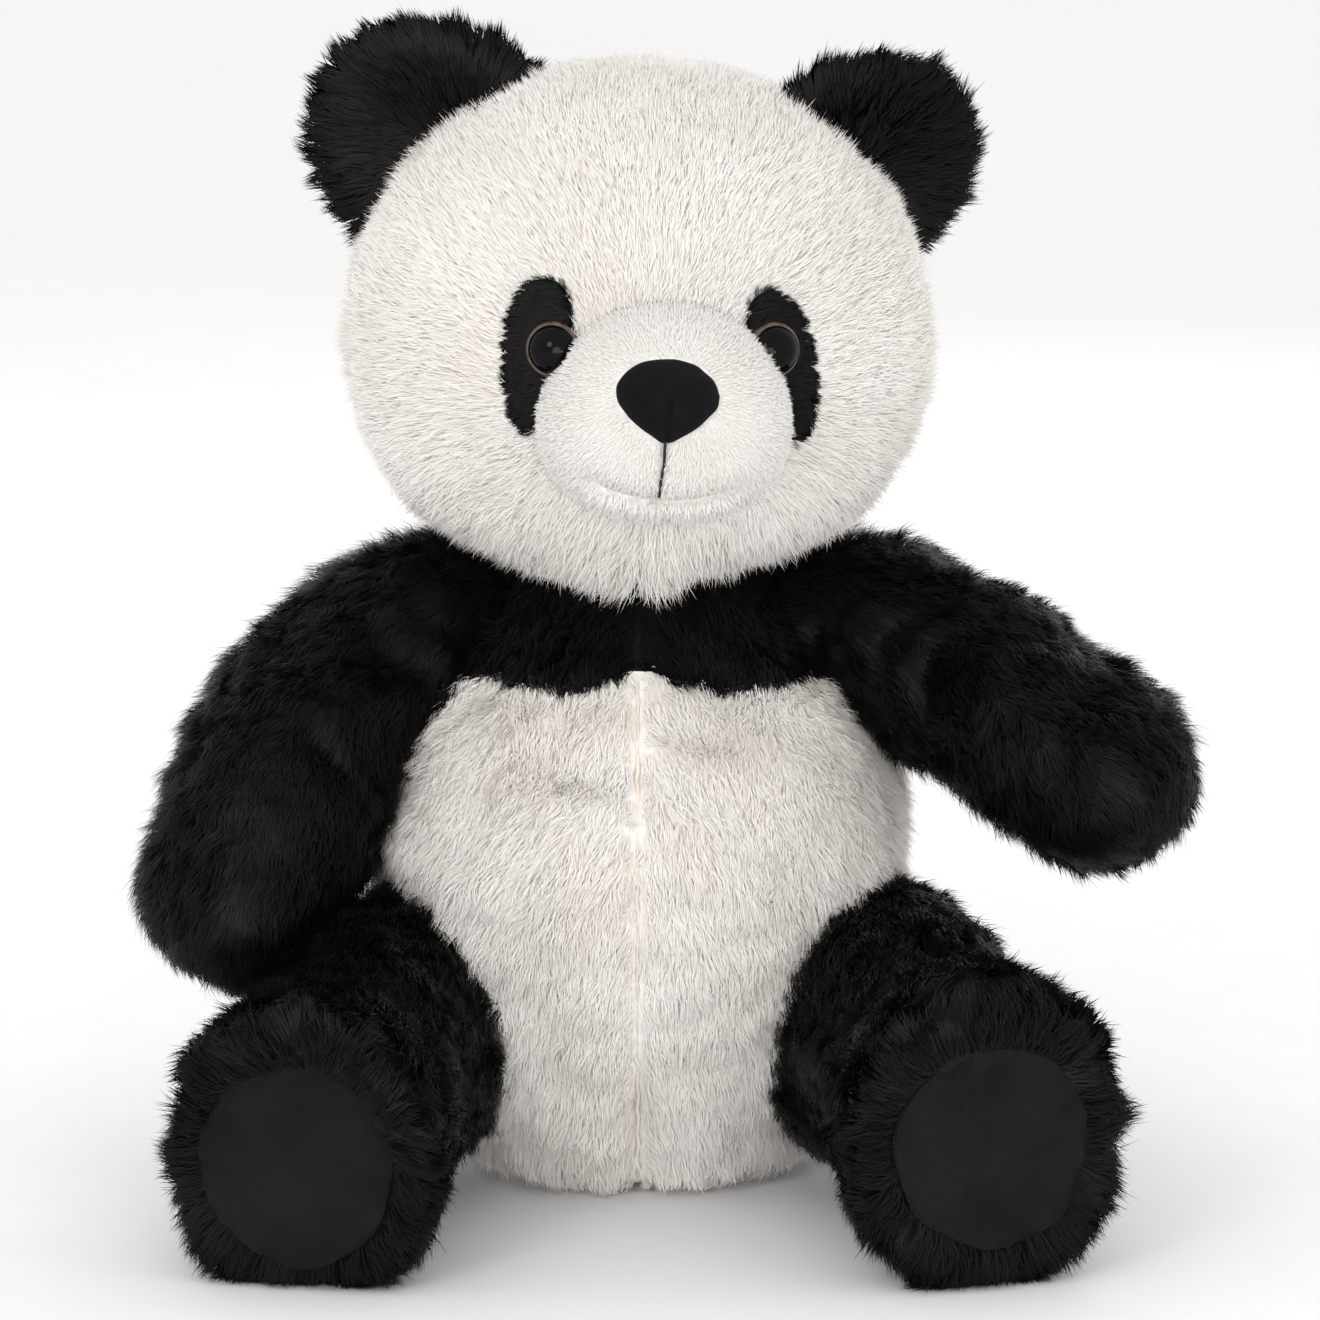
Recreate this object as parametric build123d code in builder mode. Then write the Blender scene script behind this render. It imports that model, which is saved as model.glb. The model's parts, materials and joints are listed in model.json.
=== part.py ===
"""Seated plush panda: a stuffed torso with sewn-on head, arms and legs.

Millimetres, +Z up, the face looks along -Y. The origin is the middle of the flat seat.
Left and right are the toy's own, so its right arm is on the -X side.
"""

from build123d import *
from math import cos, radians, sin, tan
import os

os.makedirs("parts", exist_ok=True)

# ---------------------------------------------------------------- driving dimensions
plush = 4.5  # plush fabric, backing and pile together
loft = 0.3  # between a cloth and the stuffing behind it
root_gap = 0.9  # between a limb's rounded root and the pocket it turns in

seat_radius = 35
torso_height = 152
shoulder_radius = 39
torso_outline = ((seat_radius, 0), (54, 26), (62, 74), (52, 118), (shoulder_radius, torso_height))
yoke_bottom = 130  # the black chest band begins here
collar_radius = 125  # hollow in the top of the torso, under the chin
collar_bottom = 140

neck_height = 152  # centre of the neck's ball
neck_setback = 4
neck_ball = 16
neck_tube = 12
neck_tube_depth = 24
neck_gap = 0.6

head_centre = (0, -4, 214)
head_radius = 68.5
head_turned = 6  # degrees, towards the toy's left
head_tilted = 3.5  # degrees, left side down
gusset_width = 45  # forehead panel
gusset_bottom = 2  # above the head's centre
side_seam = 12  # head side seams, this far behind the middle

muzzle_at = (0, -62, -12)  # from the head's centre, in the head's own directions
muzzle_radius = 29
muzzle_thickness = 3  # short-pile cloth
nose_at = (0, -88, -5.5)
nose_width = 25
nose_height = 20
nose_thickness = 4
nose_shoulder = 3  # widest line of the nose, above its middle
nose_cheek = 5  # where its lower sides bow out, below its middle
nose_corner = 2.2
feature_depth = 20  # cutting depth for what is sewn on the face
mouth_drop = 13.5  # from the nose down to the middle of the mouth
mouth_width = 32
smile_rise = 5
thread = 1.0

eye_turn = 23.5  # degrees out from the middle of the face
eye_lift = {"left": 3.5, "right": 1.5}  # degrees up
eye_radius = 7
eye_dome = 5.5
eye_gap = 0.4  # to the edge of the muzzle, which is notched for the eyes
shank_radius = 1.8
shank_length = 13
shank_gap = 0.2
washer_radius = 7
washer_thickness = 1.6
washer_depth = 2.2  # behind the cloth
washer_gap = 0.4
patch_turn = 26
patch_lift = -0.5
patch_width = 24
patch_height = 36
patch_slope = 12  # degrees, the top of each patch leans to the nose
patch_thickness = 2.5

ear_radius = 26
ear_half_thickness = 6.5
ear_reach = 68  # ear centre from the head's centre
ear_lift = 40  # degrees above level

shoulder = (58, 0, 138)
arm_length = 75  # shoulder to the middle of the paw
arm_root = 20
arm_thickest = 27
arm_middle = 38  # shoulder to the middle of the sleeve
paw_length = 32  # fullest place to the tip
arm_drop = {"left": 26, "right": 46}  # degrees below level
arm_forward = {"left": 37, "right": 43}  # degrees forward of straight out
arm_lowers = {"left": 12, "right": 3}  # degrees below rest that each arm can reach

foot_radius = 33
hip = (57, -18, foot_radius)
leg_root = 27
leg_radius = 29.5
ankle_radius = 28.5
ankle_at = 80  # instep seam, from the hip
leg_length = 112  # hip to sole
thigh_at = 38
foot_at = 98  # fullest place of the foot, from the hip
leg_splay = {"left": 14, "right": 12}  # degrees out from straight ahead
leg_swing = 9  # degrees either way, for the hollow that each leg turns in
pocket_depth = 70
pad_radius = 23.5
pad_pocket = plush + 1

bag_radius = 34
bag_height = 22
bag_lift = plush + 1
bag_corner = 9
tail_radius = 12
tail_at = (0, 57, 26)

room = 400  # larger than the whole toy, for cutting boxes
sides = {"left": 1, "right": -1}


# ---------------------------------------------------------------- helpers
def save(piece, name):
    """Label a finished part and write its STEP file."""
    piece.label = name
    export_step(piece, f"parts/{name}.step")


def limb_plane(root, direction):
    """Sketch plane with its Y axis along the limb and its X axis level."""
    level = direction.cross(Vector(0, 0, 1)).normalized()
    return Plane(origin=root, x_dir=level, z_dir=level.cross(direction))


def cut_box(low, high, plane=Plane.XY):
    """A block between two corners given in a plane's own directions."""
    with BuildPart(plane) as block:
        with Locations(tuple((a + b) / 2 for a, b in zip(low, high))):
            Box(*[b - a for a, b in zip(low, high)])
    return block.part


def turned(outline, inset, plane):
    """Turn a half outline, pulled in by inset, about its plane's Y axis."""
    with BuildPart() as body:
        with BuildSketch(plane):
            with BuildLine():
                outline(inset)
            make_face()
        revolve(axis=Axis(plane.origin, plane.y_dir))
    return body.part


def ball(centre, radius):
    with BuildPart() as round_body:
        with Locations(centre):
            Sphere(radius)
    return round_body.part


def shell(outer, inner):
    """Cloth between two bodies."""
    with BuildPart() as cloth:
        add(outer)
        add(inner, mode=Mode.SUBTRACT)
    return cloth.part


def piece_of(cloth, keep=(), remove=()):
    """One panel: the part of a body inside every keep block and outside every remove block."""
    with BuildPart() as panel:
        add(cloth)
        for block in keep:
            add(block, mode=Mode.INTERSECT)
        for block in remove:
            add(block, mode=Mode.SUBTRACT)
    return panel.part


# ---------------------------------------------------------------- limb directions
def arm_direction(side, lowered=0):
    drop = radians(arm_drop[side] + lowered)
    forward = radians(arm_forward[side])
    return Vector(sides[side] * cos(drop) * cos(forward), -cos(drop) * sin(forward), -sin(drop))


def leg_direction(side):
    splay = radians(leg_splay[side])
    return Vector(sides[side] * sin(splay), -cos(splay), 0)


def arm_plane(side, lowered=0):
    direction = arm_direction(side, lowered)
    return limb_plane((sides[side] * shoulder[0], shoulder[1], shoulder[2]), direction)


def leg_plane(side):
    return limb_plane((sides[side] * hip[0], hip[1], hip[2]), leg_direction(side))


# ---------------------------------------------------------------- outlines
def arm_outline(inset):
    """Half of an arm: rounded root, fuller towards the paw."""
    fullest = arm_length + arm_thickest - paw_length
    paw = paw_length - inset
    thick = arm_thickest - inset
    corner = radians(45)
    root = CenterArc((0, 0), arm_root - inset, -90, 90)
    side = Spline(
        root @ 1,
        (thick - 1, arm_middle),
        (thick, fullest),
        (thick * cos(corner), fullest + paw * sin(corner)),
        (0, fullest + paw),
        tangents=((0.3, 1), (-1, 0)),
    )
    Line(side @ 1, root @ 0)
    return side


def leg_outline(inset):
    """Half of a leg: rounded root, slight ankle, round foot and flat sole."""
    sole = leg_length - inset
    root = CenterArc((0, 0), leg_root - inset, -90, 90)
    thigh = Spline(
        root @ 1,
        (leg_radius - inset, thigh_at),
        (ankle_radius - inset, ankle_at),
        tangents=((0.2, 1), (0.2, 1)),
    )
    foot = Spline(
        thigh @ 1,
        (foot_radius - inset, foot_at),
        (pad_radius - inset / 2, sole),
        tangents=((0.2, 1), (-1, 0.3)),
    )
    Line(foot @ 1, (0, sole))
    Line((0, sole), root @ 0)
    return foot


def torso_half_outline(inset):
    """Half of the torso: flat seat, round belly, shoulders drawn in."""
    points = [(radius - inset, height) for radius, height in torso_outline]
    points[0] = (points[0][0], inset)
    points[-1] = (points[-1][0], torso_height - inset)
    side = Spline(*points)
    Line(side @ 1, (0, torso_height - inset))
    Line((0, torso_height - inset), (0, inset))
    Line((0, inset), side @ 0)
    return side


# ---------------------------------------------------------------- head frame and bodies
head_plane = Plane(Location(head_centre, (0, head_tilted, head_turned)))


def face_direction(turn, lift):
    """Outward direction on the face, from angles beside and above its middle."""
    turn = radians(turn)
    lift = radians(lift)
    local = Vector(sin(turn) * cos(lift), -cos(turn) * cos(lift), sin(lift))
    return head_plane.from_local_coords(local) - head_plane.origin


def face_plane(turn, lift):
    """Plane on the head's surface, facing out, X level across the face."""
    out = face_direction(turn, lift)
    level = Vector(0, 0, 1).cross(out).normalized()
    return Plane(origin=head_plane.origin + out * head_radius, x_dir=level, z_dir=out)


def head_body(inset):
    return ball(head_centre, head_radius - inset)


def muzzle_body(inset):
    return ball(head_plane.from_local_coords(Vector(*muzzle_at)), muzzle_radius - inset)


def neck_core(grown):
    """Ball and short tube through the neck seam, larger all round by grown."""
    with BuildPart() as core:
        with Locations((0, neck_setback, neck_height)):
            Sphere(neck_ball + grown)
            below = (Align.CENTER, Align.CENTER, Align.MAX)
            Cylinder(neck_tube + grown, neck_tube_depth + grown, align=below)
    return core.part


head_outer = head_body(0)
head_inner = head_body(plush)
muzzle_outer = muzzle_body(0)
muzzle_inner = muzzle_body(muzzle_thickness)
neck_pocket = neck_core(neck_gap)


# ---------------------------------------------------------------- pockets in the torso
def leg_pocket(side):
    """Rounded hollow that opens forwards as wide as the leg swings."""
    wide = leg_radius + root_gap
    with BuildPart() as pocket:
        with BuildSketch(leg_plane(side)):
            with BuildLine():
                root = CenterArc((0, 0), wide, -90, 90)
                flare = Line(root @ 1, (wide + pocket_depth * tan(radians(leg_swing)), pocket_depth))
                Line(flare @ 1, (0, pocket_depth))
                Line((0, pocket_depth), root @ 0)
            make_face()
        revolve(axis=Axis(leg_plane(side).origin, leg_direction(side)))
    return pocket.part


with BuildPart() as collar:
    with Locations((0, neck_setback, collar_bottom + collar_radius)):
        Sphere(collar_radius)

pockets = [neck_pocket, collar.part]
for side in sides:
    pockets.append(leg_pocket(side))
    for lowered in (0, arm_lowers[side] / 2, arm_lowers[side]):
        pockets.append(turned(arm_outline, -root_gap, arm_plane(side, lowered)))

torso_outer = turned(torso_half_outline, 0, Plane.XZ)
torso_inner = turned(torso_half_outline, plush, Plane.XZ)
torso_filling = turned(torso_half_outline, plush + loft, Plane.XZ)
torso_cloth = piece_of(shell(torso_outer, torso_inner), remove=pockets)

# ---------------------------------------------------------------- torso panels
left = cut_box((0, -room, -room), (room, room, room))
right = cut_box((-room, -room, -room), (0, room, room))
front = cut_box((-room, -room, -room), (room, 0, room))
back = cut_box((-room, 0, -room), (room, room, room))
above_yoke = cut_box((-room, -room, yoke_bottom), (room, room, room))
below_yoke = cut_box((-room, -room, -room), (room, room, yoke_bottom))

with BuildPart() as seat_cut:
    Cylinder(seat_radius - 1, plush, align=(Align.CENTER, Align.CENTER, Align.MIN))

for side, half in (("left", left), ("right", right)):
    lower_half = piece_of(torso_cloth, keep=[below_yoke, half], remove=[seat_cut.part])
    save(piece_of(lower_half, keep=[front]), f"belly_panel_{side}")
    save(piece_of(lower_half, keep=[back]), f"back_panel_{side}")
save(piece_of(torso_cloth, keep=[front, above_yoke]), "chest_yoke")
save(piece_of(torso_cloth, keep=[back, above_yoke]), "back_yoke")
save(piece_of(torso_cloth, keep=[seat_cut.part]), "seat_panel")

# ---------------------------------------------------------------- inside the torso
with BuildPart() as seat_bean_bag:
    with BuildSketch(Plane.XZ):
        with Locations((0, bag_lift + bag_height / 2)):
            RectangleRounded(2 * bag_radius, bag_height, bag_corner)
        split(bisect_by=Plane.YZ)
    revolve(axis=Axis.Z)
    for side in sides:
        add(leg_pocket(side), mode=Mode.SUBTRACT)
save(seat_bean_bag.part, "seat_bean_bag")

with BuildPart() as bag_space:
    with BuildSketch(Plane.XZ):
        with Locations((0, bag_lift + bag_height / 2)):
            RectangleRounded(2 * (bag_radius + loft), bag_height + 2 * loft, bag_corner)
        split(bisect_by=Plane.YZ)
    revolve(axis=Axis.Z)
save(piece_of(torso_filling, remove=pockets + [bag_space.part]), "torso_stuffing")

with BuildPart() as tail:
    with Locations(tail_at):
        Sphere(tail_radius)
    add(torso_outer, mode=Mode.SUBTRACT)
save(tail.part, "tail")

# ---------------------------------------------------------------- neck
save(neck_core(0), "neck_stuffing")

# ---------------------------------------------------------------- head panels
head_cloth = piece_of(shell(head_outer, head_inner), remove=[muzzle_inner, neck_pocket])
half_gusset = gusset_width / 2
forehead = cut_box((-half_gusset, -room, gusset_bottom), (half_gusset, side_seam, room), head_plane)
head_left = cut_box((0, -room, -room), (room, room, room), head_plane)
head_right = cut_box((-room, -room, -room), (0, room, room), head_plane)
head_front = cut_box((-room, -room, -room), (room, side_seam, room), head_plane)
head_back = cut_box((-room, side_seam, -room), (room, room, room), head_plane)

shank_holes = []
washer_spaces = []
eye_spaces = []
for side, hand in sides.items():
    eye_plane = face_plane(hand * eye_turn, eye_lift[side])
    with BuildPart() as eye:
        with BuildSketch(Plane(origin=eye_plane.origin, x_dir=eye_plane.x_dir, z_dir=-eye_plane.y_dir)):
            with BuildLine():
                rim = patch_thickness + shank_gap
                dome = TangentArc((0, rim + eye_dome), (eye_radius, rim), tangent=(1, 0))
                under = Line(dome @ 1, (shank_radius, rim))
                shank = Line(under @ 1, (shank_radius, -shank_length))
                end = Line(shank @ 1, (0, -shank_length))
                Line(end @ 1, dome @ 0)
            make_face()
        revolve(axis=Axis(eye_plane.origin, eye_plane.z_dir))
    save(eye.part, f"eye_{side}")

    washer_plane = eye_plane.offset(-plush - washer_depth - washer_thickness)
    with BuildPart() as washer:
        with BuildSketch(washer_plane):
            Circle(washer_radius)
            Circle(shank_radius + 0.05, mode=Mode.SUBTRACT)
        extrude(amount=washer_thickness)
    save(washer.part, f"eye_washer_{side}")

    with BuildPart() as hole:
        with BuildSketch(eye_plane.offset(-shank_length - washer_gap)):
            Circle(shank_radius + shank_gap)
        extrude(amount=shank_length + patch_thickness + 2)
    shank_holes.append(hole.part)
    with BuildPart() as space:
        with BuildSketch(washer_plane.offset(-washer_gap)):
            Circle(washer_radius + washer_gap)
        extrude(amount=washer_thickness + 2 * washer_gap)
    washer_spaces.append(space.part)

    with BuildPart() as eye_space:
        with BuildSketch(eye_plane):
            Circle(eye_radius + eye_gap)
        extrude(amount=feature_depth)
    eye_spaces.append(eye_space.part)

    patch_plane = face_plane(hand * patch_turn, patch_lift)
    with BuildPart() as patch:
        with BuildSketch(patch_plane):
            Ellipse(patch_width / 2, patch_height / 2, rotation=hand * patch_slope)
        extrude(amount=feature_depth, both=True)
        add(head_body(-patch_thickness), mode=Mode.INTERSECT)
        add(head_outer, mode=Mode.SUBTRACT)
        add(muzzle_outer, mode=Mode.SUBTRACT)
        add(hole.part, mode=Mode.SUBTRACT)
    save(patch.part, f"eye_patch_{side}")

save(piece_of(head_cloth, keep=[forehead]), "forehead_panel")
around_eyes = [forehead] + shank_holes
save(piece_of(head_cloth, keep=[head_front, head_left], remove=around_eyes), "face_panel_left")
save(piece_of(head_cloth, keep=[head_front, head_right], remove=around_eyes), "face_panel_right")
save(piece_of(head_cloth, keep=[head_back, head_left]), "head_back_left")
save(piece_of(head_cloth, keep=[head_back, head_right]), "head_back_right")
save(piece_of(shell(muzzle_outer, muzzle_inner), remove=[head_outer] + eye_spaces), "muzzle_panel")

# ---------------------------------------------------------------- inside the head
with BuildPart() as head_stuffing:
    add(head_body(plush + loft))
    add(muzzle_body(muzzle_thickness + loft))
    for space in shank_holes + washer_spaces + eye_spaces + [neck_pocket]:
        add(space, mode=Mode.SUBTRACT)
save(head_stuffing.part, "head_stuffing")

# ---------------------------------------------------------------- nose and mouth
nose_centre = head_plane.from_local_coords(Vector(*nose_at))
nose_plane = Plane(origin=nose_centre, x_dir=head_plane.x_dir, z_dir=-head_plane.y_dir)
with BuildPart() as nose_patch:
    with BuildSketch(nose_plane):
        with BuildLine():
            brow = ThreePointArc(
                (-nose_width / 2, nose_shoulder), (0, nose_height / 2), (nose_width / 2, nose_shoulder)
            )
            ThreePointArc(brow @ 1, (nose_width * 0.32, -nose_cheek), (0, -nose_height / 2))
            ThreePointArc((0, -nose_height / 2), (-nose_width * 0.32, -nose_cheek), brow @ 0)
        make_face()
        fillet(vertices(), radius=nose_corner)
    extrude(amount=feature_depth, both=True)
    add(muzzle_body(-nose_thickness), mode=Mode.INTERSECT)
    add(muzzle_outer, mode=Mode.SUBTRACT)
save(nose_patch.part, "nose_patch")

with BuildPart() as mouth_stitching:
    with BuildSketch(nose_plane):
        with Locations((0, -nose_height / 2 - mouth_drop / 2 - 0.5)):
            Rectangle(thread, mouth_drop)
        with BuildLine():
            low = -nose_height / 2 - mouth_drop
            end = (mouth_width / 2, low + smile_rise)
            smile = ThreePointArc((-mouth_width / 2, low + smile_rise), (0, low), end)
            offset(amount=thread / 2)
        make_face()
    extrude(amount=feature_depth, both=True)
    add(muzzle_body(-thread), mode=Mode.INTERSECT)
    add(muzzle_outer, mode=Mode.SUBTRACT)
save(mouth_stitching.part, "mouth_stitching")

# ---------------------------------------------------------------- ears
for side, hand in sides.items():
    lift = radians(ear_lift)
    out = head_plane.x_dir * (hand * cos(lift)) + head_plane.z_dir * sin(lift)
    ear_axis = head_plane.y_dir
    ear_plane = Plane(origin=head_plane.origin + out * ear_reach, x_dir=out, y_dir=ear_axis)
    ear_frame = Plane(origin=ear_plane.origin, x_dir=out, z_dir=-ear_axis)
    with BuildPart() as ear:
        with BuildSketch(ear_plane):
            Ellipse(ear_radius, ear_half_thickness)
            split(bisect_by=Plane.YZ)
        revolve(axis=Axis(ear_plane.origin, ear_axis))
        add(head_outer, mode=Mode.SUBTRACT)
    ahead = cut_box((-room, -room, 0), (room, room, room), ear_frame)
    behind = cut_box((-room, -room, -room), (room, room, 0), ear_frame)
    save(piece_of(ear.part, keep=[ahead]), f"ear_front_{side}")
    save(piece_of(ear.part, keep=[behind]), f"ear_back_{side}")

# ---------------------------------------------------------------- arms
for side in sides:
    plane = arm_plane(side)
    arm_cloth = shell(turned(arm_outline, 0, plane), turned(arm_outline, plush, plane))
    ahead = cut_box((-room, -room, -room), (0, room, room), plane)
    behind = cut_box((0, -room, -room), (room, room, room), plane)
    if sides[side] > 0:
        ahead, behind = behind, ahead
    save(piece_of(arm_cloth, keep=[ahead]), f"arm_front_{side}")
    save(piece_of(arm_cloth, keep=[behind]), f"arm_back_{side}")
    save(turned(arm_outline, plush + loft, plane), f"arm_stuffing_{side}")

# ---------------------------------------------------------------- legs and feet
for side in sides:
    plane = leg_plane(side)
    leg_cloth = shell(turned(leg_outline, 0, plane), turned(leg_outline, plush, plane))
    thigh = cut_box((-room, -room, -room), (room, ankle_at, room), plane)
    foot = cut_box((-room, ankle_at, -room), (room, room, room), plane)
    upper = cut_box((-room, -room, hip[2]), (room, room, room))
    lower = cut_box((-room, -room, -room), (room, room, hip[2]))
    sole_centre = plane.from_local_coords(Vector(0, leg_length, 0))
    with BuildPart() as sole_cut:
        with BuildSketch(Plane(origin=sole_centre, z_dir=leg_direction(side))):
            Circle(pad_radius)
        extrude(amount=-pad_pocket)
    with BuildPart() as foot_pad:
        add(sole_cut.part)
        add(turned(leg_outline, plush + loft, plane), mode=Mode.SUBTRACT)
    save(piece_of(leg_cloth, keep=[thigh, upper]), f"leg_upper_{side}")
    save(piece_of(leg_cloth, keep=[thigh, lower]), f"leg_lower_{side}")
    save(piece_of(leg_cloth, keep=[foot], remove=[sole_cut.part]), f"foot_surround_{side}")
    save(foot_pad.part, f"foot_pad_{side}")
    save(turned(leg_outline, plush + loft, plane), f"leg_stuffing_{side}")
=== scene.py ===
"""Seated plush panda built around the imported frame: sewn skins that carry real pile, a velour
nose, suede foot pads and glossy eyes. Lengths are worked out in millimetres, and mesh_object turns
them into metres. +Z is up and the face looks along -Y. Left and right are the toy's own."""

import json
from math import cos, pi, radians, sin, sqrt

import bpy
import numpy as np
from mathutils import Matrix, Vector
from mathutils.kdtree import KDTree


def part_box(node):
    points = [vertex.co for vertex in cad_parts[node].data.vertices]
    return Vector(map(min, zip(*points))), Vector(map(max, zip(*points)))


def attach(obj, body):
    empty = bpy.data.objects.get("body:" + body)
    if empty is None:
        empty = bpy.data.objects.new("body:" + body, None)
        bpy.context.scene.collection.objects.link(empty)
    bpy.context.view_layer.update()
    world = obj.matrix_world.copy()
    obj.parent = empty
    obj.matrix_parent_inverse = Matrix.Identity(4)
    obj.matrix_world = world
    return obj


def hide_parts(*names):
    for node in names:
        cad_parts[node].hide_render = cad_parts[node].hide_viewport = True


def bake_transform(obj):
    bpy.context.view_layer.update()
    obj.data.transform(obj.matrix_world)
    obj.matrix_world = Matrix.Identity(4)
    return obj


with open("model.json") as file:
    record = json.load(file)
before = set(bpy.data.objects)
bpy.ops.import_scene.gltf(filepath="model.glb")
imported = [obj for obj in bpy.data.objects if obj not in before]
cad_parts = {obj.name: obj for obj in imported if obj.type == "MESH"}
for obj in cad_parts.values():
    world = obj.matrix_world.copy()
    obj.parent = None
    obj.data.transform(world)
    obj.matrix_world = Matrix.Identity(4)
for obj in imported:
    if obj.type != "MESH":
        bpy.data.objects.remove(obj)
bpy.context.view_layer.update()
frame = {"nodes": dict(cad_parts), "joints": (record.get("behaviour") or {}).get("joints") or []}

SIDES = {"left": 1.0, "right": -1.0}
MM = 0.001
DENSITY = 1.0
UP = np.array([0.0, 0.0, 1.0])
DOWN = -UP
FLOOR_GAP = 0.4


# -------- places read from the frame
def box(*nodes):
    """Lowest and highest corner of several nodes together, in millimetres."""
    corners = [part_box(node) for node in nodes]
    low = np.min([np.array(pair[0]) for pair in corners], axis=0)
    high = np.max([np.array(pair[1]) for pair in corners], axis=0)
    return low / MM, high / MM


def middle(*nodes):
    low, high = box(*nodes)
    return (low + high) / 2


def unit(vector):
    vector = np.asarray(vector, float)
    length = np.linalg.norm(vector, axis=-1, keepdims=True)
    return vector / np.maximum(length, 1e-9)


def joint_place(name):
    joint = next(j for j in frame["joints"] if j["name"] == name)
    return np.array(joint["pos_m"], float) / MM


def reach(nodes, root):
    """Unit direction from a root to the far end of some nodes, and its length."""
    points = []
    for node in nodes:
        mesh = frame["nodes"][node].data
        flat = np.empty(len(mesh.vertices) * 3)
        mesh.vertices.foreach_get("co", flat)
        points.append(flat.reshape(-1, 3) / MM)
    points = np.vstack(points) - root
    far = np.linalg.norm(points, axis=1)
    tip = points[far > far.max() - 1.5].mean(axis=0)
    return unit(tip), float(far.max())


HEAD_PANELS = ("forehead_panel", "face_panel_left", "face_panel_right", "head_back_left", "head_back_right")
head_low, head_high = box(*HEAD_PANELS)
CAD_HEAD_RADIUS = (head_high[0] - head_low[0]) / 2
HEAD = np.array([
    (head_low[0] + head_high[0]) / 2,
    head_high[1] - CAD_HEAD_RADIUS,
    head_high[2] - CAD_HEAD_RADIUS,
])
FACE_X = unit(middle("ear_front_left") - middle("ear_front_right"))
FACE_Y = unit(np.cross(UP, FACE_X))
FACE_AXES = np.array([FACE_X, FACE_Y, np.cross(FACE_X, FACE_Y)])
NECK = joint_place("head_turn")
YOKE_BOTTOM = box("chest_yoke")[0][2]


def from_face(local):
    """From head coordinates (toy's left, back, up, from the head's centre) to the row frame."""
    return HEAD + np.asarray(local, float) @ FACE_AXES


def to_face(points):
    return (np.asarray(points, float) - HEAD) @ FACE_AXES.T


# -------- smooth curves and noise
def smooth_line(points, count):
    """A Catmull-Rom curve through the points, as count points."""
    points = np.asarray(points, float)
    if points.ndim == 1:
        points = points[:, None]
    padded = np.vstack([2 * points[0] - points[1], points, 2 * points[-1] - points[-2]])
    place = np.linspace(0, len(points) - 1 - 1e-9, count)
    index = place.astype(int)
    t = (place - index)[:, None]
    a, b, c, d = (padded[index + k] for k in range(4))
    return 0.5 * (2 * b + (c - a) * t + (2 * a - 5 * b + 4 * c - d) * t**2 + (3 * b - a - 3 * c + d) * t**3)


def waves(points, size, seed, count=14):
    """Smooth noise, about -1 to 1, with features of roughly the given size."""
    rng = np.random.default_rng(seed)
    directions = unit(rng.normal(size=(count, 3))) * (2 * pi / size) * rng.uniform(0.6, 1.5, (count, 1))
    phases = rng.uniform(0, 2 * pi, count)
    return np.sin(points @ directions.T + phases).sum(axis=1) / sqrt(count) * 0.8


def smoothstep(low, high, value):
    t = np.clip((value - low) / (high - low), 0, 1)
    return t * t * (3 - 2 * t)


def bump(distance, width):
    return np.exp(-((distance / width) ** 2))


# -------- skins as grids of rings
class Skin:
    """A closed surface made of rings of points, first ring to last, with both ends closed."""

    def __init__(self, rings):
        rings = np.asarray(rings, float)
        rows, columns = rings.shape[:2]
        self.points = np.vstack([rings.reshape(-1, 3), rings[0].mean(axis=0), rings[-1].mean(axis=0)])
        self.along = np.append(np.repeat(np.linspace(0, 1, rows), columns), [0, 1])
        column = np.arange(columns)
        after = (column + 1) % columns
        low = (np.arange(rows - 1) * columns)[:, None]
        quads = np.stack([low + column, low + after, low + columns + after, low + columns + column], axis=-1)
        self.quads = quads.reshape(-1, 4)
        start, end, last = rows * columns, rows * columns + 1, (rows - 1) * columns
        first_cap = np.stack([np.full(columns, start), after, column], axis=1)
        last_cap = np.stack([np.full(columns, end), last + column, last + after], axis=1)
        self.caps = np.vstack([first_cap, last_cap])
        self.face_up()

    def face_up(self):
        """Turn the faces outwards, then work out a normal for each point."""
        self.triangles = np.vstack([self.quads[:, [0, 1, 2]], self.quads[:, [0, 2, 3]], self.caps])
        a, b, c = (self.points[self.triangles[:, k]] for k in range(3))
        flat = np.cross(b - a, c - a)
        if (flat * (a - self.points.mean(axis=0))).sum() < 0:
            self.quads, self.caps = self.quads[:, ::-1], self.caps[:, ::-1]
            self.triangles, flat = self.triangles[:, ::-1], -flat
        self.normals = np.zeros_like(self.points)
        for k in range(3):
            np.add.at(self.normals, self.triangles[:, k], flat)
        self.normals = unit(self.normals)
        self.area = np.linalg.norm(flat, axis=1) / 2

    def press(self, depth):
        """Move every point inwards along its normal by its own depth."""
        self.points = self.points - self.normals * np.asarray(depth)[:, None]
        self.face_up()

    def scatter(self, per_square_cm, seed):
        """Random points on the surface: places, normals and how far along the rings they are."""
        rng = np.random.default_rng(seed)
        count = int(self.area.sum() * 0.01 * per_square_cm * DENSITY)
        chosen = rng.choice(len(self.area), count, p=self.area / self.area.sum())
        u, v = rng.random(count), rng.random(count)
        flip = u + v > 1
        u[flip], v[flip] = 1 - u[flip], 1 - v[flip]
        weights = np.stack([1 - u - v, u, v], axis=1)
        corners = self.triangles[chosen]
        places = (self.points[corners] * weights[:, :, None]).sum(axis=1)
        normals = unit((self.normals[corners] * weights[:, :, None]).sum(axis=1))
        along = (self.along[corners] * weights).sum(axis=1)
        return places, normals, along


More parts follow.
